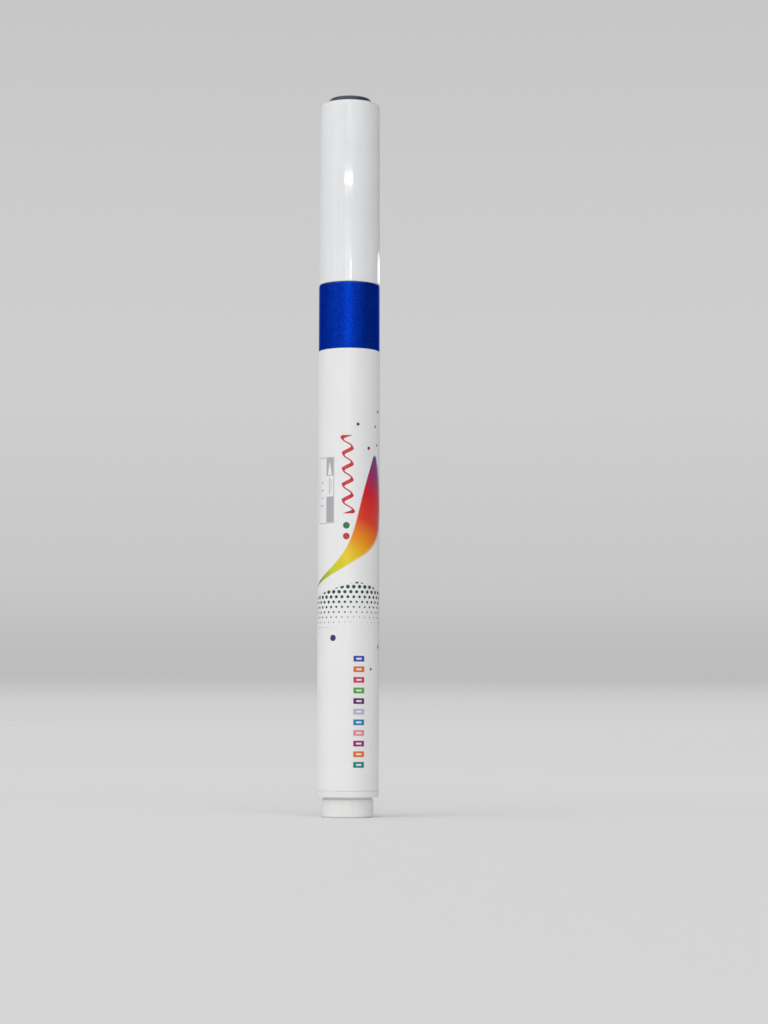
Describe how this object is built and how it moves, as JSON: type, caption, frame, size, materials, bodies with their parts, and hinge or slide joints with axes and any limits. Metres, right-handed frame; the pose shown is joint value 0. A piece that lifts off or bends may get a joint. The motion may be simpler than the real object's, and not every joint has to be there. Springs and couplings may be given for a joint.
{
  "type": "brush marker",
  "caption": "Capped brush marker for calligraphy with a printed white barrel, a blue metallic ring, a pull-off cap, a press valve and loose mixing balls.",
  "frame": {"origin": "centre of the tail's flat end face, on the pen's axis", "axes": "+Z along the pen's axis from the tail to the cap, +X to the right and +Y away from someone who looks at the print's front"},
  "size_m": [0.012, 0.012, 0.142],
  "materials": {
    "barrel_white": "satin white tube with coloured print",
    "cap_white": "glossy white",
    "plug_white": "semi-gloss white",
    "ring_blue": "deep blue metallic satin",
    "end_plug_navy": "dark navy gloss",
    "housing_white": "moulded white",
    "natural_plastic": "natural milky plastic",
    "ferrule_dark": "dark satin",
    "bristle_blue": "nylon bristles wet with blue metallic ink",
    "wick_fibre": "porous fibre soaked in ink",
    "absorber_fibre": "pressed fibre",
    "seal_rubber": "black rubber",
    "spring_steel": "drawn stainless wire",
    "ball_steel": "polished ball",
    "rod_plastic": "pale blue-grey moulding"
  },
  "bodies": {
    "pen_body": {"rear_plug": "plug_white", "rear_seal_ring": "seal_rubber", "barrel": "barrel_white", "front_section": "housing_white", "section_seal_ring": "seal_rubber", "colour_ring": "ring_blue", "nose_cone": "housing_white", "valve_seat": "seal_rubber", "valve_case": "natural_plastic", "valve_spring": "spring_steel", "absorber_collar": "absorber_fibre"},
    "brush_unit": {"valve_rod": "rod_plastic", "feed_tube": "natural_plastic", "feed_wick": "wick_fibre", "brush_ferrule": "ferrule_dark", "brush_bristles": "bristle_blue"},
    "cap": {"cap_shell": "cap_white", "cap_liner": "natural_plastic", "cap_end_plug": "end_plug_navy"},
    "ball_1": {"mixing_ball_1": "ball_steel"},
    "ball_2": {"mixing_ball_2": "ball_steel"}
  },
  "joints": [
    {"name": "cap_pull", "type": "slide", "parent": "pen_body", "child": "cap", "axis": [0, 0, 1], "range_m": [0, 0.05]},
    {"name": "brush_press", "type": "slide", "parent": "pen_body", "child": "brush_unit", "axis": [0, 0, -1], "range_m": [0, 0.0015], "stiffness_N_per_m": 400, "springref_m": -0.0008, "deforming": ["valve_spring"]},
    {"name": "ball_1_travel", "type": "slide", "parent": "pen_body", "child": "ball_1", "axis": [0, 0, 1], "range_m": [0, 0.059]},
    {"name": "ball_2_travel", "type": "slide", "parent": "pen_body", "child": "ball_2", "axis": [0, 0, 1], "range_m": [0, 0.059]}
  ]
}
